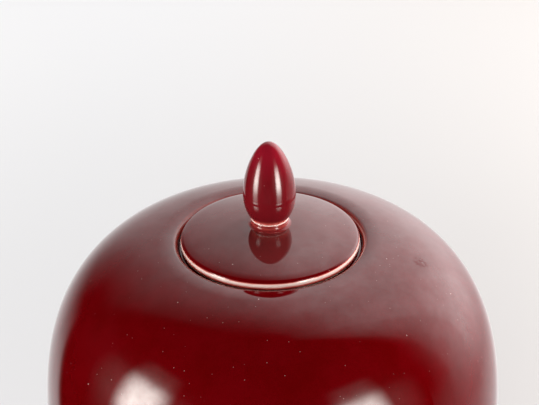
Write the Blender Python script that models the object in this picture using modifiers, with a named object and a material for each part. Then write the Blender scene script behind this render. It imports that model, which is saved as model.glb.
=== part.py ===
"""A round, melon-shaped porcelain jar with a domed lid sunk into its mouth and an egg-shaped knob.

The shoulder of the jar is one half of a superellipse, and the belly under it is a softer one. The shoulder
rolls over into the mouth, where a ledge carries the lid. A ring under the lid keeps the lid centred in
the throat. Every piece is a turned shape: a profile of (radius, height) points and a Screw modifier.
Units are metres. The origin is the centre of the foot ring's resting plane, and +Z points up.
"""

from math import asin, atan2, cos, pi, radians, sin, sqrt

import bpy

# Jar: driving dimensions
BODY_RADIUS = 0.120  # at the widest plane
BELLY_HEIGHT = 0.112  # from the foot up to the widest plane
SHOULDER_RISE = 0.1271  # from the widest plane up to the top of the shoulder's superellipse, on the axis
SHOULDER_POWER = 3.195
BELLY_POWER = 2.25
WALL = 0.0055

# Lip and gallery: the shoulder ends at SHOULDER_END, and two arcs roll it over into the mouth
SHOULDER_END = 0.05697
ROLL_RADIUS = 0.024
LIP_RADIUS = 0.0036
ROLL_END_TILT = radians(-6)  # a surface's tilt is zero where it is level, and negative facing the mouth
THROAT_RADIUS = 0.039
GALLERY_THICKNESS = 0.005

# Foot ring
FOOT_RADIUS = 0.066
FOOT_HEIGHT = 0.006
FOOT_TAPER = 0.0008
FOOT_WIDTH = 0.0065
FOOT_CHAMFER = 0.0006
FOOT_RECESS = 0.0045  # depth of the hollow inside the foot ring
FLOOR_THICKNESS = 0.007

# Lid
LID_PLAY = 0.0012  # gap between the lid's edge and the mouth's wall
LID_SINK = 0.00026  # how far the fullest line of the lid's edge lies under the crest of the lip
LID_DOME_RADIUS = 0.150
LID_KNUCKLE_START = 0.040
LID_KNUCKLE_RADIUS = 0.027
LID_EDGE_RADIUS = 0.0028
LID_RIM_DEPTH = 0.0029  # from the fullest line of the edge down to the seat
LID_CENTRE_THICKNESS = 0.0045
SEAT_GAP = 0.0003

# Locating ring under the lid
FLANGE_PLAY = 0.0012  # gap between the ring and the throat
FLANGE_THICKNESS = 0.0045
FLANGE_DEPTH = 0.008
FLANGE_TAPER = 0.0006
FLANGE_ROUND = 0.0012

# Knob: heights are above the fullest line of the lid's edge
EGG_CENTRE = 0.03074
EGG_HALF_HEIGHT = 0.0229
EGG_RADIUS = 0.01278
EGG_TAPER = 0.232  # how much narrower the egg grows towards its tip
EGG_BASE_ANGLE = radians(-53)
GROOVE_RADIUS = 0.0088
GROOVE_HEIGHT = 0.0114
BEAD_RADIUS = 0.0095
BEAD_HEIGHT = 0.01015

# Facets
BODY_STEPS = 48
LID_STEPS = 48
KNOB_STEPS = 32

NAME = "lidded_jar"


# ---- points of a profile -------------------------------------------------------------------------


def superellipse_point(radius, rise, power, angle):
    """The point of the curve (r / radius)^power + (z / rise)^power = 1 that is seen under this angle."""
    reach = (abs(cos(angle) / radius) ** power + abs(sin(angle) / rise) ** power) ** (-1 / power)
    return reach * cos(angle), reach * sin(angle)


def superellipse_height(radius, rise, power, r):
    return rise * (1 - (r / radius) ** power) ** (1 / power)


def superellipse_radius(radius, rise, power, z):
    return radius * (1 - (abs(z) / rise) ** power) ** (1 / power)


def superellipse_tilt(radius, rise, power, r):
    """Angle between the upward direction and the curve's outward normal."""
    z = superellipse_height(radius, rise, power, r)
    return atan2((r / radius) ** (power - 1) / radius, (z / rise) ** (power - 1) / rise)


def tilt_arc(centre, radius, first, last, segments):
    """Points of an arc, from one tilt to another."""
    turn = [first + (last - first) * i / segments for i in range(segments + 1)]
    return [(centre[0] + radius * sin(t), centre[1] + radius * cos(t)) for t in turn]


def along(centre, tilt, distance):
    return centre[0] + distance * sin(tilt), centre[1] + distance * cos(tilt)


# ---- the jar's derived places --------------------------------------------------------------------

SHOULDER = (BODY_RADIUS, SHOULDER_RISE, SHOULDER_POWER)
SHOULDER_END_TILT = superellipse_tilt(*SHOULDER, SHOULDER_END)
SHOULDER_END_HEIGHT = BELLY_HEIGHT + superellipse_height(*SHOULDER, SHOULDER_END)
ROLL_CENTRE = along((SHOULDER_END, SHOULDER_END_HEIGHT), SHOULDER_END_TILT, -ROLL_RADIUS)
LIP_CENTRE = along(ROLL_CENTRE, ROLL_END_TILT, ROLL_RADIUS - LIP_RADIUS)
CREST_HEIGHT = ROLL_CENTRE[1] + ROLL_RADIUS
MOUTH_RADIUS = LIP_CENTRE[0] - LIP_RADIUS

LID_EDGE_HEIGHT = CREST_HEIGHT - LID_SINK
SEAT_HEIGHT = LID_EDGE_HEIGHT - LID_RIM_DEPTH
LEDGE_HEIGHT = SEAT_HEIGHT - SEAT_GAP
LID_RADIUS = MOUTH_RADIUS - LID_PLAY
FLANGE_OUTER = THROAT_RADIUS - FLANGE_PLAY
FLANGE_INNER = FLANGE_OUTER - FLANGE_THICKNESS


# ---- profiles, from the inside over the top and down the outside ---------------------------------


def foot_profile():
    """Down the foot ring, across its resting face and into the hollow under the jar."""
    outer = FOOT_RADIUS - FOOT_TAPER
    inner = FOOT_RADIUS - FOOT_WIDTH
    return [
        (FOOT_RADIUS, FOOT_HEIGHT),
        (outer, FOOT_CHAMFER),
        (outer - FOOT_CHAMFER, 0),
        (inner + FOOT_CHAMFER, 0),
        (inner, FOOT_CHAMFER),
        (inner - FOOT_TAPER, FOOT_RECESS),
        (0, FOOT_RECESS),
    ]


def belly_rise():
    """Half height of the belly's superellipse, so that it comes down to the top of the foot ring."""
    drop = BELLY_HEIGHT - FOOT_HEIGHT
    return drop / (1 - (FOOT_RADIUS / BODY_RADIUS) ** BELLY_POWER) ** (1 / BELLY_POWER)


def curve_points(radius, rise, power, first, last, segments):
    turn = [first + (last - first) * i / segments for i in range(segments + 1)]
    points = [superellipse_point(radius, rise, power, t) for t in turn]
    return [(r, BELLY_HEIGHT + z) for r, z in points]


def outer_profile():
    """Lip, shoulder and belly."""
    roll = tilt_arc(ROLL_CENTRE, ROLL_RADIUS, ROLL_END_TILT, SHOULDER_END_TILT, 4)
    lip = tilt_arc(LIP_CENTRE, LIP_RADIUS, radians(-90), ROLL_END_TILT, 4)
    start = atan2(SHOULDER_END_HEIGHT - BELLY_HEIGHT, SHOULDER_END)
    end = atan2(FOOT_HEIGHT - BELLY_HEIGHT, FOOT_RADIUS)
    shoulder = curve_points(*SHOULDER, start, 0, 12)
    belly = curve_points(BODY_RADIUS, belly_rise(), BELLY_POWER, 0, end, 9)
    return lip[:-1] + roll[:-1] + shoulder + belly[1:-1]


def inner_profile():
    """From the middle of the jar's floor up the wall and under the gallery to the throat."""
    floor = FOOT_RECESS + FLOOR_THICKNESS
    under = LEDGE_HEIGHT - GALLERY_THICKNESS
    radius = BODY_RADIUS - WALL
    lower = (radius, belly_rise() - WALL, BELLY_POWER)
    upper = (radius, SHOULDER_RISE - WALL, SHOULDER_POWER)
    floor_edge = superellipse_radius(*lower, floor - BELLY_HEIGHT)
    under_edge = superellipse_radius(*upper, under - BELLY_HEIGHT)
    start = atan2(floor - BELLY_HEIGHT, floor_edge)
    end = atan2(under - BELLY_HEIGHT, under_edge)
    wall = curve_points(*lower, start, 0, 7) + curve_points(*upper, 0, end, 9)[1:]
    return [(0, floor)] + wall + [(THROAT_RADIUS, under)]


def jar_profile():
    gallery = [(THROAT_RADIUS, LEDGE_HEIGHT), (MOUTH_RADIUS, LEDGE_HEIGHT)]
    return inner_profile() + gallery + outer_profile() + foot_profile()


def lid_edge_tilt():
    """Tilt at which the knuckle's arc runs into the rounded edge."""
    start = LID_KNUCKLE_START / LID_DOME_RADIUS
    reach = LID_RADIUS - LID_EDGE_RADIUS - LID_KNUCKLE_START + LID_KNUCKLE_RADIUS * start
    return asin(reach / (LID_KNUCKLE_RADIUS - LID_EDGE_RADIUS))


def lid_arcs():
    """Centres and tilts of the three arcs of the lid's top: dome, knuckle and edge."""
    dome_tilt = asin(LID_KNUCKLE_START / LID_DOME_RADIUS)
    edge_tilt = lid_edge_tilt()
    edge = (LID_RADIUS - LID_EDGE_RADIUS, LID_EDGE_HEIGHT)
    knuckle = along(edge, edge_tilt, LID_EDGE_RADIUS - LID_KNUCKLE_RADIUS)
    dome = along(knuckle, dome_tilt, LID_KNUCKLE_RADIUS - LID_DOME_RADIUS)
    return dome, knuckle, edge, dome_tilt, edge_tilt


def dome_height(r):
    dome = lid_arcs()[0]
    return dome[1] + sqrt(LID_DOME_RADIUS**2 - r**2)


def lid_plate_profile():
    dome, knuckle, edge, dome_tilt, edge_tilt = lid_arcs()
    top = tilt_arc(dome, LID_DOME_RADIUS, 0, dome_tilt, 6)
    top += tilt_arc(knuckle, LID_KNUCKLE_RADIUS, dome_tilt, edge_tilt, 3)[1:]
    top += tilt_arc(edge, LID_EDGE_RADIUS, edge_tilt, radians(90), 4)[1:]
    chamfer = LID_EDGE_RADIUS / 3
    rim = [(LID_RADIUS, SEAT_HEIGHT + chamfer), (LID_RADIUS - chamfer, SEAT_HEIGHT)]
    hollow = dome_height(0) - LID_CENTRE_THICKNESS - SEAT_HEIGHT
    radius = (FLANGE_INNER**2 + hollow**2) / (2 * hollow)
    centre = (0, SEAT_HEIGHT + hollow - radius)
    underside = tilt_arc(centre, radius, asin(FLANGE_INNER / radius), 0, 6)
    return top + rim + underside


def lid_flange_profile():
    """A closed outline: up the ring's inner side, over its top and down its outer side."""
    top = SEAT_HEIGHT - SEAT_GAP
    bottom = top - FLANGE_DEPTH
    outer = FLANGE_OUTER - FLANGE_TAPER
    inner = FLANGE_INNER + FLANGE_TAPER
    right = tilt_arc((outer - FLANGE_ROUND, bottom + FLANGE_ROUND), FLANGE_ROUND, pi / 2, pi, 3)
    left = tilt_arc((inner + FLANGE_ROUND, bottom + FLANGE_ROUND), FLANGE_ROUND, pi, 3 * pi / 2, 3)
    outline = [(FLANGE_INNER, top), (FLANGE_OUTER, top)] + right + left
    return outline + outline[:1]


def finial_profile():
    """Egg, groove and bead, then back to the axis over an underside that follows the lid's dome."""
    steps = 16
    span = pi / 2 - EGG_BASE_ANGLE
    turn = [pi / 2 - span * i / steps for i in range(steps + 1)]
    width = [EGG_RADIUS * cos(t) * (1 - EGG_TAPER * sin(t)) for t in turn]
    height = [EGG_CENTRE + EGG_HALF_HEIGHT * sin(t) for t in turn]
    neck = list(zip(width, height)) + [(GROOVE_RADIUS, GROOVE_HEIGHT), (BEAD_RADIUS, BEAD_HEIGHT)]
    neck = [(r, LID_EDGE_HEIGHT + z) for r, z in neck]
    neck[0] = (0, neck[0][1])
    under = [BEAD_RADIUS * (1 - i / 3) for i in range(4)]
    return neck + [(r, dome_height(r) + SEAT_GAP) for r in under]


# ---- objects -------------------------------------------------------------------------------------


def clear_scene():
    for item in list(bpy.data.objects):
        bpy.data.objects.remove(item)


def new_collection(name):
    collection = bpy.data.collections.new(name)
    bpy.context.scene.collection.children.link(collection)
    return collection


def material(name, colour, roughness):
    mat = bpy.data.materials.new(name)
    mat.use_nodes = True
    shader = mat.node_tree.nodes["Principled BSDF"]
    shader.inputs["Base Color"].default_value = (*colour, 1)
    shader.inputs["Roughness"].default_value = roughness
    shader.inputs["Metallic"].default_value = 0
    mat.diffuse_color = (*colour, 1)
    return mat


def turned(collection, name, profile, origin_height, steps, mat):
    """A solid of revolution around the Z axis, with its origin on the axis at origin_height."""
    mesh = bpy.data.meshes.new(name)
    points = [(r, 0, z - origin_height) for r, z in profile]
    mesh.from_pydata(points, [(i, i + 1) for i in range(len(points) - 1)], [])
    piece = bpy.data.objects.new(name, mesh)
    collection.objects.link(piece)
    piece.location = (0, 0, origin_height)
    screw = piece.modifiers.new("turn", "SCREW")
    screw.axis = "Z"
    screw.angle = radians(360)
    screw.steps = steps
    screw.render_steps = steps
    screw.use_merge_vertices = True
    screw.merge_threshold = 0.00002
    screw.use_smooth_shade = True
    mesh.materials.append(mat)
    return piece


def build():
    clear_scene()
    parts = new_collection(NAME)
    oxblood = (0.115, 0.002, 0.004)
    jar_glaze = material("jar_glaze", oxblood, 0.06)
    lid_glaze = material("lid_glaze", oxblood, 0.06)
    knob_glaze = material("knob_glaze", (0.15, 0.003, 0.006), 0.06)
    porcelain = material("porcelain", (0.78, 0.74, 0.68), 0.5)
    turned(parts, "jar_body", jar_profile(), 0, BODY_STEPS, jar_glaze)
    lid_plate = turned(parts, "lid_plate", lid_plate_profile(), LID_EDGE_HEIGHT, LID_STEPS, lid_glaze)
    ring = turned(parts, "lid_flange", lid_flange_profile(), SEAT_HEIGHT, LID_STEPS, porcelain)
    knob = turned(parts, "finial", finial_profile(), LID_EDGE_HEIGHT, KNOB_STEPS, knob_glaze)
    for piece in (ring, knob):
        piece.parent = lid_plate
        piece.location.z -= LID_EDGE_HEIGHT


build()
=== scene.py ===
"""The looks of a round, melon-shaped jar of oxblood-red porcelain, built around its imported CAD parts.

Every piece is a turned form: its section is worked out from the CAD boxes and a few driving dimensions,
then spun into a fine closed mesh. A point attribute called "thin" marks the convex edges where the glaze
runs thin and the white body shows through. The glaze mirrors the world shader, a bright sweep behind the
jar in a dark room, and two tall glowing planes in front of it; area lights that no mirror shows light its
matt side. Units are metres, and angles are radians unless a comment says degrees.
"""

from math import asin, atan2, cos, pi, radians, sin, sqrt, tan

import bpy
from mathutils import Matrix, Vector


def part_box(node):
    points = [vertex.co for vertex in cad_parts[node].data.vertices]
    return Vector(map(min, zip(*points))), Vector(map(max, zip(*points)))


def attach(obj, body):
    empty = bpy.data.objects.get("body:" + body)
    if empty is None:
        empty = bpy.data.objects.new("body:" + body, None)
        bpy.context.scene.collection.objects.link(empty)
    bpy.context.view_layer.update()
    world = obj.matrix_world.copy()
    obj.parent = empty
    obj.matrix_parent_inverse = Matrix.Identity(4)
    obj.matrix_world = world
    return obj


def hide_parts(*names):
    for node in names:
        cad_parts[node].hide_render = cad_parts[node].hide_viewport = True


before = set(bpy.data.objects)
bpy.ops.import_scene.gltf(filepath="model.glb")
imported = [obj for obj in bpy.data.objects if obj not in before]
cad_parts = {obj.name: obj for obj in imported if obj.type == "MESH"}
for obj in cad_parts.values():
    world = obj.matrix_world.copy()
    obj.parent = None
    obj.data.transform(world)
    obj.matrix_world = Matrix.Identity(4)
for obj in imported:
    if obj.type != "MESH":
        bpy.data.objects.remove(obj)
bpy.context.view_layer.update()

# ---- driving dimensions --------------------------------------------------------------------------

JAR_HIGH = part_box("jar_body")[1]
LID_LOW, LID_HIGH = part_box("lid_plate")
RING_LOW, RING_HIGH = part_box("lid_flange")
KNOB_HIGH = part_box("finial")[1]

BODY_RADIUS = JAR_HIGH.x
LID_RADIUS = LID_HIGH.x
SEAT_HEIGHT = LID_LOW.z
TIP_HEIGHT = KNOB_HIGH.z

BELLY_HEIGHT = 0.112
SHOULDER_RISE = 0.1271
SHOULDER_POWER = 3.195
BELLY_POWER = 2.25
WALL = 0.0055

SHOULDER_END = 0.05697
ROLL_RADIUS = 0.024
LIP_RADIUS = 0.0036
ROLL_END_TILT = radians(-6)
GALLERY_THICKNESS = 0.005
SEAT_GAP = 0.0003

FOOT_RADIUS = 0.066
FOOT_HEIGHT = 0.006
FOOT_TAPER = 0.0008
FOOT_WIDTH = 0.0065
FOOT_RECESS = 0.0045
FOOT_ROUND = 0.0007
FLOOR_THICKNESS = 0.007

LID_RIM_DEPTH = 0.0029
LID_DOME_RADIUS = 0.150
LID_KNUCKLE_START = 0.040
LID_KNUCKLE_RADIUS = 0.027
LID_EDGE_RADIUS = 0.0028
LID_CENTRE_THICKNESS = 0.0045

RING_PLAY = 0.0012
RING_THICKNESS = 0.0045
RING_TAPER = 0.0006
RING_ROUND = 0.0012

EGG_HALF_HEIGHT = 0.0229
EGG_RADIUS = 0.01278
EGG_TAPER = 0.232
EGG_BASE_ANGLE = radians(-53)
RIM_ROUND = 0.0004  # the fine ridge round the egg's base
RIM_OFFSET = (-0.0001, -0.0003)  # from the end of the egg to the middle of the ridge
GROOVE_RADIUS = 0.0088
BEAD_RADIUS = 0.0095
BEAD_ROUND = 0.0010
BEAD_DROP = 0.0020  # from the ridge down to the fullest line of the bead
FLARE_RADIUS = 0.0125
FLARE_SINK = 0.00012  # how deep the flare's outer edge lies in the lid
KNOB_SINK = 0.0006  # how deep the knob's underside lies in the lid

LID_EDGE_HEIGHT = SEAT_HEIGHT + LID_RIM_DEPTH
LEDGE_HEIGHT = SEAT_HEIGHT - SEAT_GAP
THROAT_RADIUS = RING_HIGH.x + RING_PLAY
RING_INNER = RING_HIGH.x - RING_THICKNESS

BODY_STEPS = 288
LID_STEPS = 240
KNOB_STEPS = 128


# ---- points of a section -------------------------------------------------------------------------


def superellipse_point(radius, rise, power, angle):
    reach = (abs(cos(angle) / radius) ** power + abs(sin(angle) / rise) ** power) ** (-1 / power)
    return reach * cos(angle), reach * sin(angle)


def superellipse_height(radius, rise, power, r):
    return rise * (1 - (r / radius) ** power) ** (1 / power)


def superellipse_radius(radius, rise, power, z):
    return radius * (1 - (abs(z) / rise) ** power) ** (1 / power)


def superellipse_tilt(radius, rise, power, r):
    """Angle between the upward direction and the curve's outward normal."""
    z = superellipse_height(radius, rise, power, r)
    return atan2((r / radius) ** (power - 1) / radius, (z / rise) ** (power - 1) / rise)


def spread(first, last, count):
    return [first + (last - first) * i / count for i in range(count + 1)]


def tilt_arc(centre, radius, first, last, count):
    """Points of an arc, from one tilt to another."""
    return [(centre[0] + radius * sin(t), centre[1] + radius * cos(t)) for t in spread(first, last, count)]


def along(centre, tilt, distance):
    return centre[0] + distance * sin(tilt), centre[1] + distance * cos(tilt)


def rounded_corner(before, corner, after, radius, count=8):
    """The arc of this radius that replaces the corner between two straight stretches."""
    before, corner, after = Vector(before), Vector(corner), Vector(after)
    back, ahead = (before - corner).normalized(), (after - corner).normalized()
    half = back.angle(ahead) / 2
    reach = radius / tan(half)
    start, end = corner + back * reach, corner + ahead * reach
    centre = corner + (back + ahead).normalized() * radius / sin(half)
    arm, turn = start - centre, (start - centre).angle_signed(end - centre)
    points = []
    for t in spread(0, turn, count):
        across, up = arm.x * cos(t) + arm.y * sin(t), arm.y * cos(t) - arm.x * sin(t)
        points.append((centre.x + across, centre.y + up))
    return points


def rounded_path(points, radius):
    """A path of straight stretches whose inner corners are all rounded."""
    path = [points[0]]
    for before, corner, after in zip(points, points[1:], points[2:]):
        path += rounded_corner(before, corner, after, radius)
    return path + [points[-1]]


def smooth_step(low, high, value):
    t = min(max((value - low) / (high - low), 0), 1)
    return t * t * (3 - 2 * t)


# ---- sections: lists of (radius, height, thin, finish) --------------------------------------------

GLAZE, PALE, BARE = 0, 1, 2


def plain(points, finish, thin=0.0):
    return [(r, z, thin, finish) for r, z in points]


SHOULDER = (BODY_RADIUS, SHOULDER_RISE, SHOULDER_POWER)
SHOULDER_END_TILT = superellipse_tilt(*SHOULDER, SHOULDER_END)
SHOULDER_END_HEIGHT = BELLY_HEIGHT + superellipse_height(*SHOULDER, SHOULDER_END)
ROLL_CENTRE = along((SHOULDER_END, SHOULDER_END_HEIGHT), SHOULDER_END_TILT, -ROLL_RADIUS)
LIP_CENTRE = along(ROLL_CENTRE, ROLL_END_TILT, ROLL_RADIUS - LIP_RADIUS)
MOUTH_RADIUS = LIP_CENTRE[0] - LIP_RADIUS


def curve_points(radius, rise, power, first, last, count):
    points = [superellipse_point(radius, rise, power, t) for t in spread(first, last, count)]
    return [(r, BELLY_HEIGHT + z) for r, z in points]


def belly_rise():
    drop = BELLY_HEIGHT - FOOT_HEIGHT
    return drop / (1 - (FOOT_RADIUS / BODY_RADIUS) ** BELLY_POWER) ** (1 / BELLY_POWER)


def lip_section():
    """From the mouth's wall over the lip to the shoulder: the glaze is thinnest on the tight inner turn."""
    section = []
    for tilt in spread(radians(-90), ROLL_END_TILT, 24):
        r, z = along(LIP_CENTRE, tilt, LIP_RADIUS)
        thin = smooth_step(radians(-90), radians(-55), tilt) * smooth_step(radians(-8), radians(-28), tilt)
        section.append((r, z, 0.17 * thin, GLAZE))
    section += plain(tilt_arc(ROLL_CENTRE, ROLL_RADIUS, ROLL_END_TILT, SHOULDER_END_TILT, 22)[1:], GLAZE)
    return section


def outer_section():
    start = atan2(SHOULDER_END_HEIGHT - BELLY_HEIGHT, SHOULDER_END)
    end = atan2(FOOT_HEIGHT - BELLY_HEIGHT, FOOT_RADIUS)
    shoulder = curve_points(*SHOULDER, start, 0, 90)[1:]
    belly = curve_points(BODY_RADIUS, belly_rise(), BELLY_POWER, 0, end, 70)[1:]
    return plain(shoulder + belly[:-1], GLAZE)


def foot_section():
    outer = FOOT_RADIUS - FOOT_TAPER
    inner = FOOT_RADIUS - FOOT_WIDTH
    ring = [(FOOT_RADIUS, FOOT_HEIGHT), (outer, 0), (inner, 0)]
    ring += [(inner - FOOT_TAPER, FOOT_RECESS), (0, FOOT_RECESS)]
    path = rounded_path(ring, FOOT_ROUND)
    hollow = [p for p in path if p[1] > FOOT_RECESS - FOOT_ROUND and p[0] < inner]
    bare = path[: len(path) - len(hollow)]
    return plain(bare, BARE) + plain(hollow, PALE)


def inner_section():
    """From the middle of the jar's floor up the wall, under the gallery, through the throat to the mouth."""
    floor = FOOT_RECESS + FLOOR_THICKNESS
    under = LEDGE_HEIGHT - GALLERY_THICKNESS
    radius = BODY_RADIUS - WALL
    lower = (radius, belly_rise() - WALL, BELLY_POWER)
    upper = (radius, SHOULDER_RISE - WALL, SHOULDER_POWER)
    start = atan2(floor - BELLY_HEIGHT, superellipse_radius(*lower, floor - BELLY_HEIGHT))
    end = atan2(under - BELLY_HEIGHT, superellipse_radius(*upper, under - BELLY_HEIGHT))
    wall = curve_points(*lower, start, 0, 36) + curve_points(*upper, 0, end, 40)[1:]
    corners = [wall[-1], (THROAT_RADIUS, under), (THROAT_RADIUS, LEDGE_HEIGHT), (MOUTH_RADIUS, LEDGE_HEIGHT)]
    corners.append((MOUTH_RADIUS, LIP_CENTRE[1]))
    gallery = rounded_path(corners, 0.0008)[1:-1]
    return plain([(0, floor)] + wall, PALE) + plain(gallery, GLAZE)


def jar_section():
    return inner_section() + lip_section() + outer_section() + foot_section()


def lid_arcs():
    """Centres and tilts of the three arcs of the lid's top: dome, knuckle and edge."""
    dome_tilt = asin(LID_KNUCKLE_START / LID_DOME_RADIUS)
    reach = LID_RADIUS - LID_EDGE_RADIUS - LID_KNUCKLE_START
    reach += LID_KNUCKLE_RADIUS * LID_KNUCKLE_START / LID_DOME_RADIUS
    edge_tilt = asin(reach / (LID_KNUCKLE_RADIUS - LID_EDGE_RADIUS))
    edge = (LID_RADIUS - LID_EDGE_RADIUS, LID_EDGE_HEIGHT)
    knuckle = along(edge, edge_tilt, LID_EDGE_RADIUS - LID_KNUCKLE_RADIUS)
    dome = along(knuckle, dome_tilt, LID_KNUCKLE_RADIUS - LID_DOME_RADIUS)
    return dome, knuckle, edge, dome_tilt, edge_tilt


def dome_height(r):
    return lid_arcs()[0][1] + sqrt(LID_DOME_RADIUS**2 - r**2)


def lid_section():
    dome, knuckle, edge, dome_tilt, edge_tilt = lid_arcs()
    top = tilt_arc(dome, LID_DOME_RADIUS, 0, dome_tilt, 40)
    top += tilt_arc(knuckle, LID_KNUCKLE_RADIUS, dome_tilt, edge_tilt, 40)[1:]
    section = [(0, top[0][1], 0, GLAZE)] + plain(top[1:], GLAZE)
    for tilt in spread(edge_tilt, radians(90), 24)[1:]:
        r, z = along(edge, tilt, LID_EDGE_RADIUS)
        section.append((r, z, smooth_step(radians(54), radians(77), tilt), GLAZE))
    chamfer = LID_EDGE_RADIUS / 3
    corners = [(LID_RADIUS, LID_EDGE_HEIGHT), (LID_RADIUS, SEAT_HEIGHT), (RING_INNER, SEAT_HEIGHT)]
    rim = rounded_corner(*corners, chamfer)
    hollow = dome_height(0) - LID_CENTRE_THICKNESS - SEAT_HEIGHT
    radius = (RING_INNER**2 + hollow**2) / (2 * hollow)
    centre = (0, SEAT_HEIGHT + hollow - radius)
    underside = tilt_arc(centre, radius, asin(RING_INNER / radius), 0, 30)
    return section + plain(rim, BARE) + plain(underside, PALE)


def ring_section():
    """The locating ring under the lid, from its top inner edge round and back."""
    top, bottom = SEAT_HEIGHT - SEAT_GAP, RING_LOW.z
    inner, outer = RING_INNER, RING_HIGH.x
    corners = [(inner, top), (outer, top), (outer - RING_TAPER, bottom), (inner + RING_TAPER, bottom)]
    path = [corners[0], corners[1]]
    path += rounded_corner(corners[1], corners[2], corners[3], RING_ROUND)
    path += rounded_corner(corners[2], corners[3], corners[0], RING_ROUND)
    return plain(path + [corners[0]], BARE)


def egg_section():
    """The egg from its tip down to the fine ridge round its base, where the glaze thins to a pale line."""
    centre = TIP_HEIGHT - EGG_HALF_HEIGHT
    section = []
    for t in spread(pi / 2, EGG_BASE_ANGLE, 72):
        r = EGG_RADIUS * cos(t) * (1 - EGG_TAPER * sin(t))
        thin = 0.55 * smooth_step(EGG_BASE_ANGLE + radians(13), EGG_BASE_ANGLE, t)
        section.append((max(r, 0), centre + EGG_HALF_HEIGHT * sin(t), thin, GLAZE))
    section[0] = (0, TIP_HEIGHT, 0, GLAZE)
    return section


def neck_section(egg_end):
    """Ridge, groove, bead and the flare of glaze on the lid, then back to the axis under the knob."""
    ridge = (egg_end[0] + RIM_OFFSET[0], egg_end[1] + RIM_OFFSET[1])
    line = tilt_arc(ridge, RIM_ROUND, radians(35), radians(150), 14)
    bead = (BEAD_RADIUS - BEAD_ROUND, ridge[1] - BEAD_DROP)
    bulge = tilt_arc(bead, BEAD_ROUND, radians(40), radians(125), 16)
    (top, high), (bottom, low) = line[-1], bulge[0]
    groove = []
    for t in spread(0, pi, 12)[1:-1]:
        r = top + (bottom - top) * t / pi
        depth = max(r - GROOVE_RADIUS, 0)
        groove.append((r - depth * sin(t) ** 0.7, high + (low - high) * (1 - cos(t)) / 2))
    foot_radius, foot_height = bulge[-1]
    lift = foot_height - dome_height(foot_radius)
    flare = []
    for t in spread(0, 1, 20)[1:]:
        r = foot_radius + (FLARE_RADIUS - foot_radius) * t
        flare.append((r, dome_height(r) + lift * (1 - t) ** 4 - FLARE_SINK * t))
    inward = [FLARE_RADIUS * (1 - i / 6) for i in range(7)]
    under = [(r, dome_height(r) - KNOB_SINK) for r in inward]
    return plain(line, GLAZE, 0.85) + plain(groove + bulge, GLAZE, 0.2) + plain(flare + under, GLAZE, 0.1)


def knob_section():
    egg = egg_section()
    return egg + neck_section(egg[-1][:2])


# ---- meshes --------------------------------------------------------------------------------------


def turned(name, section, steps, materials):
    """A closed solid of revolution around the Z axis, made from a section that runs clockwise."""
    closed = section[0][0] > 0
    outline = section[:-1] if closed else section
    rings, points, thin = [], [], []
    for r, z, share, _ in outline:
        count = 1 if r == 0 else steps
        rings.append(range(len(points), len(points) + count))
        turn = [2 * pi * i / steps for i in range(count)]
        points += [(r * cos(t), r * sin(t), z) for t in turn]
        thin += [share] * count
    faces, finishes = [], []
    pairs = list(zip(rings, rings[1:])) + ([(rings[-1], rings[0])] if closed else [])
    for (upper, lower), (_, _, _, finish) in zip(pairs, outline):
        for i in range(steps):
            j = (i + 1) % steps
            corners = [ring[k % len(ring)] for ring, k in ((upper, i), (lower, i), (lower, j), (upper, j))]
            faces.append(list(dict.fromkeys(corners)))
            finishes.append(finish)
    mesh = bpy.data.meshes.new(name)
    mesh.from_pydata(points, [], faces)
    mesh.attributes.new("thin", "FLOAT", "POINT").data.foreach_set("value", thin)
    for item in materials:
        mesh.materials.append(item)
    mesh.polygons.foreach_set("material_index", finishes)
    mesh.shade_smooth()
    mesh.set_sharp_from_angle(angle=radians(40))
    piece = bpy.data.objects.new(name, mesh)
    bpy.context.scene.collection.objects.link(piece)
    return piece


# ---- nodes ---------------------------------------------------------------------------------------


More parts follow.
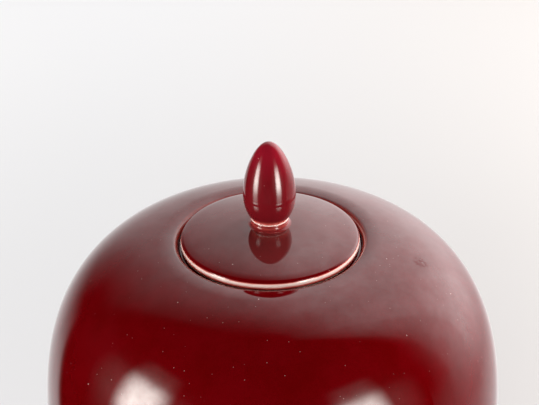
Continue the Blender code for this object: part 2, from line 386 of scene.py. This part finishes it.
class Nodes:
    """A node tree with short calls. Each call adds one node and gives back its result socket."""

    def __init__(self, tree):
        self.tree = tree

    def add(self, kind, inputs=(), output=0, **settings):
        node = self.tree.nodes.new(kind)
        for key, value in settings.items():
            setattr(node, key, value)
        pairs = inputs.items() if isinstance(inputs, dict) else enumerate(inputs)
        for key, value in pairs:
            self.feed(node.inputs[key], value)
        return node.outputs[output]

    def feed(self, socket, value):
        if isinstance(value, bpy.types.NodeSocket):
            self.tree.links.new(value, socket)
        elif isinstance(value, tuple) and len(value) == 3 and socket.type == "RGBA":
            socket.default_value = (*value, 1)
        else:
            socket.default_value = value

    def math(self, operation, a, b=0.0, c=0.0):
        return self.add("ShaderNodeMath", (a, b, c), operation=operation)

    def step(self, value, low, high):
        """0 below low, 1 above high, with a smooth rise between them; low may be the larger one."""
        inputs = {"Value": value, "From Min": low, "From Max": high}
        return self.add("ShaderNodeMapRange", inputs, interpolation_type="SMOOTHSTEP")

    def band(self, value, low, high, soft):
        rise = self.step(value, low - soft / 2, low + soft / 2)
        fall = self.step(value, high + soft / 2, high - soft / 2)
        return self.math("MULTIPLY", rise, fall)

    def curve(self, value, points):
        """A smooth function through these (value, result) points."""
        low, high = points[0][0], points[-1][0]
        peak = max(y for _, y in points)
        place = self.add("ShaderNodeMapRange", {"Value": value, "From Min": low, "From Max": high})
        node = self.tree.nodes.new("ShaderNodeFloatCurve")
        curve = node.mapping.curves[0]
        for i, (x, y) in enumerate(points):
            spot = ((x - low) / (high - low), y / peak)
            if 0 < i < len(points) - 1:
                curve.points.new(*spot)
            else:
                curve.points[0 if i == 0 else -1].location = spot
        for point in curve.points:
            point.handle_type = "AUTO_CLAMPED"
        node.mapping.update()
        self.feed(node.inputs["Value"], place)
        return self.math("MULTIPLY", node.outputs[0], peak)

    def blend(self, share, a, b):
        """A number between a and b."""
        node = self.tree.nodes.new("ShaderNodeMix")
        for socket, value in zip((node.inputs[0], node.inputs[2], node.inputs[3]), (share, a, b)):
            self.feed(socket, value)
        return node.outputs[0]

    def mix(self, share, a, b):
        node = self.tree.nodes.new("ShaderNodeMix")
        node.data_type = "RGBA"
        for socket, value in zip((node.inputs[0], node.inputs[6], node.inputs[7]), (share, a, b)):
            self.feed(socket, value)
        return node.outputs[2]

    def noise(self, place, scale, detail=2.0, roughness=0.5):
        inputs = {"Vector": place, "Scale": scale, "Detail": detail, "Roughness": roughness}
        return self.add("ShaderNodeTexNoise", inputs)


def new_material(name):
    item = bpy.data.materials.new(name)
    item.use_nodes = True
    return item, Nodes(item.node_tree), item.node_tree.nodes["Principled BSDF"]


# ---- materials -----------------------------------------------------------------------------------

OXBLOOD = (0.115, 0.0005, 0.0018)
OXBLOOD_DEEP = (0.098, 0.0003, 0.0009)
KNOB_RED = (0.148, 0.0060, 0.0095)
KNOB_DEEP = (0.128, 0.0042, 0.0070)
KNOB_TIP = (0.230, 0.0060, 0.0150)
HAZE = (0.60, 0.56, 0.53)  # fine dust
SPECK = (0.75, 0.55, 0.50)
PIT = (0.02, 0.002, 0.003)
THIN_RED = (0.60, 0.10, 0.075)
PORCELAIN = (0.93, 0.72, 0.64)
GLAZE_IOR = 1.5
SCUFF_REACH = 0.63 * BODY_RADIUS  # from the jar's axis, on the shoulder
SCUFF_TURN = radians(-12)
SCUFF_RADIUS = 0.0055
SCUFF_DULLING = 0.6  # share of the gloss that the scuff takes away


def specks(nodes, place, scale, size, share):
    """Round dots of one size at random places: 1 inside a dot. share is how many cells hold a dot."""
    cell = nodes.tree.nodes.new("ShaderNodeTexVoronoi")
    nodes.feed(cell.inputs["Vector"], place)
    cell.inputs["Scale"].default_value = scale
    dot = nodes.step(cell.outputs["Distance"], size * scale, size * scale * 0.5)
    pick = nodes.add("ShaderNodeSeparateColor", (cell.outputs["Color"],))
    chosen = nodes.math("LESS_THAN", pick, share)
    return nodes.math("MULTIPLY", dot, chosen)


def surface_film(nodes, place):
    """Strength of the gloss: a thin uneven film dulls it a little, and one scuff on the shoulder more."""
    cloud = nodes.noise(place, 110, 6, 0.75)
    gloss = nodes.math("MULTIPLY_ADD", cloud, 0.60, 0.20)
    height = BELLY_HEIGHT + superellipse_height(*SHOULDER, SCUFF_REACH)
    spot = (SCUFF_REACH * cos(SCUFF_TURN), SCUFF_REACH * sin(SCUFF_TURN), height)
    away = nodes.add("ShaderNodeVectorMath", (place, spot), 1, operation="DISTANCE")
    inside = nodes.step(away, SCUFF_RADIUS, SCUFF_RADIUS * 0.4)
    flecks = nodes.step(nodes.noise(place, 700, 4, 0.7), 0.45, 0.52)
    scuff = nodes.math("MULTIPLY", nodes.math("MULTIPLY", inside, flecks), SCUFF_DULLING)
    return nodes.math("MULTIPLY", gloss, nodes.math("SUBTRACT", 1.0, scuff))


def dusted(nodes, place, base, haze):
    """The colour under a veil of fine dust that lies on the level middle of a piece."""
    split = nodes.tree.nodes.new("ShaderNodeSeparateXYZ")
    nodes.feed(split.inputs[0], place)
    x, y, _ = split.outputs
    reach = nodes.math("SQRT", nodes.math("MULTIPLY_ADD", x, x, nodes.math("MULTIPLY", y, y)))
    level = nodes.step(reach, 0.041, 0.030)
    return nodes.mix(nodes.math("MULTIPLY", level, haze), base, HAZE)


def lighter_tip(nodes, place, base, tip):
    split = nodes.tree.nodes.new("ShaderNodeSeparateXYZ")
    nodes.feed(split.inputs[0], place)
    return nodes.mix(nodes.step(split.outputs[2], TIP_HEIGHT - 0.020, TIP_HEIGHT - 0.002), base, tip)


def thinned(nodes, place, base):
    """The colour where the glaze runs thin: first a lighter red, then the white body shows through."""
    thin = nodes.add("ShaderNodeAttribute", output="Fac", attribute_name="thin")
    uneven = nodes.math("MULTIPLY_ADD", nodes.noise(place, 180, 3), 0.5, 0.75)
    thin = nodes.math("MULTIPLY", thin, uneven)
    base = nodes.mix(nodes.step(thin, 0.0, 0.55), base, THIN_RED)
    return nodes.mix(nodes.step(thin, 0.45, 0.95), base, PORCELAIN)


def specked(nodes, place, base, pits):
    """The colour with its coarse and fine specks of dust and its dark pits."""
    dust = nodes.math("MULTIPLY", specks(nodes, place, 160, 0.00040, 0.13), 0.55)
    fine_dust = nodes.math("MULTIPLY", specks(nodes, place, 400, 0.00025, 0.22), 0.35)
    base = nodes.mix(nodes.math("MAXIMUM", dust, fine_dust), base, SPECK)
    return nodes.mix(nodes.math("MULTIPLY", pits, 0.8), base, PIT)


def rippled(nodes, place, pits):
    """A faintly wavy surface with fine orange peel and shallow pits."""
    height = nodes.math("MULTIPLY_ADD", nodes.noise(place, 700, 2), 0.02, nodes.noise(place, 45, 1))
    height = nodes.math("SUBTRACT", height, nodes.math("MULTIPLY", pits, 0.5))
    return nodes.add("ShaderNodeBump", {"Strength": 1.0, "Distance": 0.00006, "Height": height})


def oxblood_glaze(name, colour=OXBLOOD, deep=OXBLOOD_DEEP, haze=0.0, tip=None):
    item, nodes, shader = new_material(name)
    place = nodes.add("ShaderNodeTexCoord", output="Object")
    mottle = nodes.math("MULTIPLY", nodes.noise(place, 60, 5, 0.6), 0.7)
    cloud = nodes.math("MULTIPLY_ADD", nodes.noise(place, 900, 3, 0.6), 0.3, mottle)
    base = nodes.mix(nodes.step(cloud, 0.38, 0.62), deep, colour)
    if haze:
        base = dusted(nodes, place, base, haze)
    if tip:
        base = lighter_tip(nodes, place, base, tip)
    pits = specks(nodes, place, 90, 0.0003, 0.05)
    base = specked(nodes, place, thinned(nodes, place, base), pits)
    nodes.feed(shader.inputs["Base Color"], base)
    smudge = nodes.step(nodes.noise(place, 35, 4, 0.6), 0.45, 0.75)
    nodes.feed(shader.inputs["Roughness"], nodes.math("MULTIPLY_ADD", smudge, 0.05, 0.035))
    shader.inputs["IOR"].default_value = GLAZE_IOR
    nodes.feed(shader.inputs["Specular IOR Level"], surface_film(nodes, place))
    nodes.feed(shader.inputs["Normal"], rippled(nodes, place, pits))
    return item


def pale_glaze(name):
    item, nodes, shader = new_material(name)
    place = nodes.add("ShaderNodeTexCoord", output="Object")
    tone = nodes.step(nodes.noise(place, 40, 4), 0.35, 0.65)
    base = nodes.mix(tone, (0.50, 0.48, 0.42), (0.56, 0.55, 0.49))
    iron = specks(nodes, place, 120, 0.00035, 0.08)
    base = nodes.mix(nodes.math("MULTIPLY", iron, 0.7), base, (0.18, 0.10, 0.06))
    nodes.feed(shader.inputs["Base Color"], base)
    shader.inputs["Roughness"].default_value = 0.12
    shader.inputs["IOR"].default_value = GLAZE_IOR
    bump = {"Strength": 1.0, "Distance": 0.0001, "Height": nodes.noise(place, 60, 2)}
    nodes.feed(shader.inputs["Normal"], nodes.add("ShaderNodeBump", bump))
    return item


def bare_porcelain(name):
    item, nodes, shader = new_material(name)
    place = nodes.add("ShaderNodeTexCoord", output="Object")
    grain = nodes.noise(place, 1500, 4, 0.7)
    tone = nodes.step(nodes.noise(place, 70, 4), 0.35, 0.7)
    base = nodes.mix(tone, (0.50, 0.45, 0.38), (0.43, 0.36, 0.28))
    base = nodes.mix(nodes.math("MULTIPLY", grain, 0.25), base, (0.30, 0.25, 0.20))
    nodes.feed(shader.inputs["Base Color"], base)
    shader.inputs["Roughness"].default_value = 0.7
    bump = {"Strength": 1.0, "Distance": 0.00008, "Height": grain}
    nodes.feed(shader.inputs["Normal"], nodes.add("ShaderNodeBump", bump))
    return item


# ---- pieces --------------------------------------------------------------------------------------


def build_pieces():
    pale = pale_glaze("pale_inner_glaze")
    bare = bare_porcelain("bare_porcelain")
    jar = turned("jar_shell", jar_section(), BODY_STEPS, [oxblood_glaze("oxblood_jar"), pale, bare])
    lid_glaze = oxblood_glaze("oxblood_lid", haze=0.022)
    lid = turned("lid_disc", lid_section(), LID_STEPS, [lid_glaze, pale, bare])
    ring = turned("locating_ring", ring_section(), LID_STEPS, [bare, bare, bare])
    knob_glaze = oxblood_glaze("oxblood_knob", KNOB_RED, KNOB_DEEP, tip=KNOB_TIP)
    knob = turned("egg_knob", knob_section(), KNOB_STEPS, [knob_glaze, pale, bare])
    rows = [
        (jar, "jar", "jar_body", "jar_glaze"),
        (lid, "lid", "lid_plate", "lid_glaze"),
        (ring, "lid", "lid_flange", "bare_porcelain"),
        (knob, "lid", "finial", "knob_glaze"),
    ]
    for piece, body, node, slot in rows:
        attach(piece, body)
        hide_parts(node)


# ---- studio --------------------------------------------------------------------------------------

CAMERA_DISTANCE = 0.71069  # from the middle of the jar's widest plane
CAMERA_ELEVATION = radians(39.751)
CAMERA_PITCH = radians(29.617)  # how far the camera looks down
CAMERA_ROLL = radians(-0.95)
FOCAL_LENGTH = 85
SENSOR_WIDTH = 36

# Azimuths are in degrees: 0 is straight behind the jar, 90 is to its right, as the camera sees it.
# The curves below hold (degrees, brightness) points, tuned against the reflections in the glaze.
LOW_WALL = [(-180, 0), (-52, 0), (-37, 0.17), (-22, 0.76), (-7, 1.15), (7, 1.78), (22, 2.3), (37, 2.7)]
LOW_WALL += [(52, 3.3), (67, 2.35), (82, 0.95), (92, 0.1), (100, 0), (180, 0)]
HIGH_WALL = [(-180, 0), (-68, 0), (-52, 0.17), (-37, 0.42), (-22, 0.82), (-7, 1.38), (7, 1.98), (22, 2.3)]
HIGH_WALL += [(37, 2.2), (52, 2.2), (67, 1.55), (82, 0.5), (92, 0), (180, 0)]
WALL_BY_ELEVATION = [(-90, 1), (45, 1), (51, 0.95), (57, 0.85), (63, 0.68), (69, 0.43), (75, 0.22)]
WALL_BY_ELEVATION += [(81, 0.08), (87, 0), (90, 0)]
FLOOR_BY_AZIMUTH = [(-180, 0.1), (-80, 0), (-60, 0), (-54, 0.25), (-46, 0.92), (-7, 1.0), (22, 1.06)]
FLOOR_BY_AZIMUTH += [(35, 0.95), (52, 0.85), (67, 0.58), (85, 0.42), (100, 0.3), (130, 0.1), (180, 0.1)]
LAMPS = {"left_lamp": -118, "right_lamp": 139}
LAMP_DISTANCE = 0.60
LAMP_LIGHT = 18.5
LAMP_HALF_WIDTH = 0.106
LAMP_EDGE = 0.127  # how far the lamp fades across each side
LAMP_GLOW = 0.03  # brightness of the glow around the lamp, next to the lamp itself
GLOW_HALF_WIDTH = 0.26
GLOW_EDGE = 0.30
LAMP_TONE = (1.0, 0.97, 0.91)
# Brightness by the height in metres above the floor
LAMP_BY_HEIGHT = [(-0.25, 0), (-0.12, 0.05), (-0.02, 0.13), (0.06, 0.21), (0.127, 0.42), (0.16, 0.58)]
LAMP_BY_HEIGHT += [(0.193, 0.78), (0.226, 0.93), (0.27, 1), (0.33, 0.97), (0.393, 0.8), (0.42, 0.63)]
LAMP_BY_HEIGHT += [(0.453, 0.4), (0.48, 0.21), (0.5, 0.12), (0.523, 0.07), (0.55, 0.045), (0.579, 0.03)]
LAMP_BY_HEIGHT += [(0.62, 0.02), (0.66, 0.006), (0.7, 0)]
# Soft lights that glossy reflections do not show: where each stands, its size and its power in watts
SOFT_LIGHTS = {
    "overhead_light": ((0.1, -0.1, 1.3), 1.0, 2.0),
    "right_light": ((1.3, 0.25, 0.45), 0.8, 30.0),
    "left_light": ((-1.2, 0.4, 0.5), 0.8, 7.0),
    "front_light": ((-0.5, -1.0, 0.45), 0.8, 12.5),
}
BACKDROP = (0.95, 0.95, 0.95)
FLOOR_REACH = 4.0
# Tones of the paper: the warmer right tone is a painted tint of the warm light that falls from the right
PAPER_LEFT = (0.468, 0.463, 0.466)
PAPER_RIGHT = (0.462, 0.438, 0.425)


def studio_light(nodes):
    """Brightness of the studio in the direction of a ray."""
    direction = nodes.add("ShaderNodeTexCoord", output="Generated")
    split = nodes.tree.nodes.new("ShaderNodeSeparateXYZ")
    nodes.feed(split.inputs[0], direction)
    x, y, z = split.outputs
    azimuth = nodes.math("DEGREES", nodes.math("ARCTAN2", x, y))
    elevation = nodes.math("DEGREES", nodes.math("ARCSINE", z))
    low, high = nodes.curve(azimuth, LOW_WALL), nodes.curve(azimuth, HIGH_WALL)
    wall = nodes.blend(nodes.step(elevation, 15, 45), low, high)
    wall = nodes.math("MULTIPLY", wall, nodes.curve(elevation, WALL_BY_ELEVATION))
    floor = nodes.math("MAXIMUM", nodes.curve(azimuth, FLOOR_BY_AZIMUTH), nodes.step(elevation, -42, -60))
    above = nodes.math("MULTIPLY_ADD", nodes.step(azimuth, 0, -35), 4.5, elevation)
    return nodes.blend(nodes.step(above, -22, 10), floor, wall)


def build_world():
    world = bpy.data.worlds.new("studio")
    bpy.context.scene.world = world
    world.use_nodes = True
    tree = world.node_tree
    nodes = Nodes(tree)
    shader = tree.nodes["Background"]
    seen = nodes.add("ShaderNodeLightPath", output="Is Camera Ray")
    light = studio_light(nodes)
    nodes.feed(shader.inputs["Color"], nodes.mix(seen, light, BACKDROP))


def lamp_glow(name):
    """The lamp's light: brightest in its middle, and fading towards its edges and its ends."""
    item, nodes, shader = new_material(name)
    place = nodes.tree.nodes.new("ShaderNodeSeparateXYZ")
    nodes.feed(place.inputs[0], nodes.add("ShaderNodeTexCoord", output="Object"))
    across = nodes.band(place.outputs[0], -LAMP_HALF_WIDTH, LAMP_HALF_WIDTH, LAMP_EDGE)
    halo = nodes.band(place.outputs[0], -GLOW_HALF_WIDTH, GLOW_HALF_WIDTH, GLOW_EDGE)
    across = nodes.math("MULTIPLY_ADD", halo, LAMP_GLOW, across)
    upright = nodes.curve(place.outputs[2], LAMP_BY_HEIGHT)
    glow = nodes.math("MULTIPLY", nodes.math("MULTIPLY", across, upright), LAMP_LIGHT)
    nodes.feed(shader.inputs["Base Color"], (0.0, 0.0, 0.0))
    nodes.feed(shader.inputs["Emission Color"], LAMP_TONE)
    nodes.feed(shader.inputs["Emission Strength"], glow)
    shader.inputs["Specular IOR Level"].default_value = 0
    return item


def build_lamp(name, azimuth):
    """A tall glowing plane that faces the jar. Only mirror-like reflections show it."""
    wide, low, high = GLOW_HALF_WIDTH + GLOW_EDGE / 2, LAMP_BY_HEIGHT[0][0], LAMP_BY_HEIGHT[-1][0]
    mesh = bpy.data.meshes.new(name)
    corners = [(-wide, 0, low), (wide, 0, low), (wide, 0, high), (-wide, 0, high)]
    mesh.from_pydata(corners, [], [(0, 1, 2, 3)])
    mesh.materials.append(lamp_glow(name))
    lamp = bpy.data.objects.new(name, mesh)
    bpy.context.scene.collection.objects.link(lamp)
    turn = radians(azimuth)
    lamp.location = (LAMP_DISTANCE * sin(turn), LAMP_DISTANCE * cos(turn), 0)
    lamp.rotation_euler = (0, 0, -turn)
    lamp.visible_camera = False
    lamp.visible_diffuse = False
    lamp.visible_shadow = False


def build_soft_light(name, place, size, power):
    """A square area light that faces the jar and that no mirror-like reflection shows."""
    light = bpy.data.lights.new(name, "AREA")
    light.size = size
    light.energy = power
    lamp = bpy.data.objects.new(name, light)
    bpy.context.scene.collection.objects.link(lamp)
    lamp.location = place
    lamp.rotation_euler = (Vector(place) - Vector((0, 0, BELLY_HEIGHT))).to_track_quat("Z", "Y").to_euler()
    lamp.visible_glossy = False
    lamp.visible_camera = False


def white_paper():
    """Paper with painted light: it glows a little, and more the farther it lies from the jar, and its tone
    turns warmer towards the right, a painted tint of the warm light from that side.
    """
    item, nodes, shader = new_material("white_paper")
    place = nodes.add("ShaderNodeTexCoord", output="Object")
    split = nodes.tree.nodes.new("ShaderNodeSeparateXYZ")
    nodes.feed(split.inputs[0], place)
    tone = nodes.mix(nodes.step(split.outputs[0], -0.2, 0.4), PAPER_LEFT, PAPER_RIGHT)
    nodes.feed(shader.inputs["Base Color"], tone)
    nodes.feed(shader.inputs["Emission Color"], tone)
    reach = nodes.add("ShaderNodeVectorMath", (place,), 1, operation="LENGTH")
    glow = nodes.math("MULTIPLY_ADD", nodes.step(reach, 0.1, 1.15), 0.73, 0.37)
    glow = nodes.math("MULTIPLY_ADD", nodes.step(reach, 1.1, 2.6), 0.90, glow)
    nodes.feed(shader.inputs["Emission Strength"], glow)
    shader.inputs["Roughness"].default_value = 0.9
    shader.inputs["Specular IOR Level"].default_value = 0
    return item


def build_floor():
    mesh = bpy.data.meshes.new("floor")
    corners = [(x * FLOOR_REACH, y * FLOOR_REACH, 0) for x, y in ((-1, -1), (1, -1), (1, 1), (-1, 1))]
    mesh.from_pydata(corners, [], [(0, 1, 2, 3)])
    mesh.materials.append(white_paper())
    floor = bpy.data.objects.new("floor", mesh)
    bpy.context.scene.collection.objects.link(floor)
    floor.visible_glossy = False


def build_camera():
    camera = bpy.data.objects.new("camera", bpy.data.cameras.new("camera"))
    bpy.context.scene.collection.objects.link(camera)
    camera.data.lens = FOCAL_LENGTH
    camera.data.sensor_width = SENSOR_WIDTH
    back = CAMERA_DISTANCE * cos(CAMERA_ELEVATION)
    up = CAMERA_DISTANCE * sin(CAMERA_ELEVATION)
    aim = Matrix.Rotation(pi / 2 - CAMERA_PITCH, 4, "X") @ Matrix.Rotation(CAMERA_ROLL, 4, "Z")
    camera.matrix_world = Matrix.Translation((0, -back, BELLY_HEIGHT + up)) @ aim
    bpy.context.scene.camera = camera


build_pieces()
build_world()
for lamp_name, lamp_azimuth in LAMPS.items():
    build_lamp(lamp_name, lamp_azimuth)
for light_name, light_setting in SOFT_LIGHTS.items():
    build_soft_light(light_name, *light_setting)
build_floor()
build_camera()
bpy.context.scene.view_settings.view_transform = "Standard"
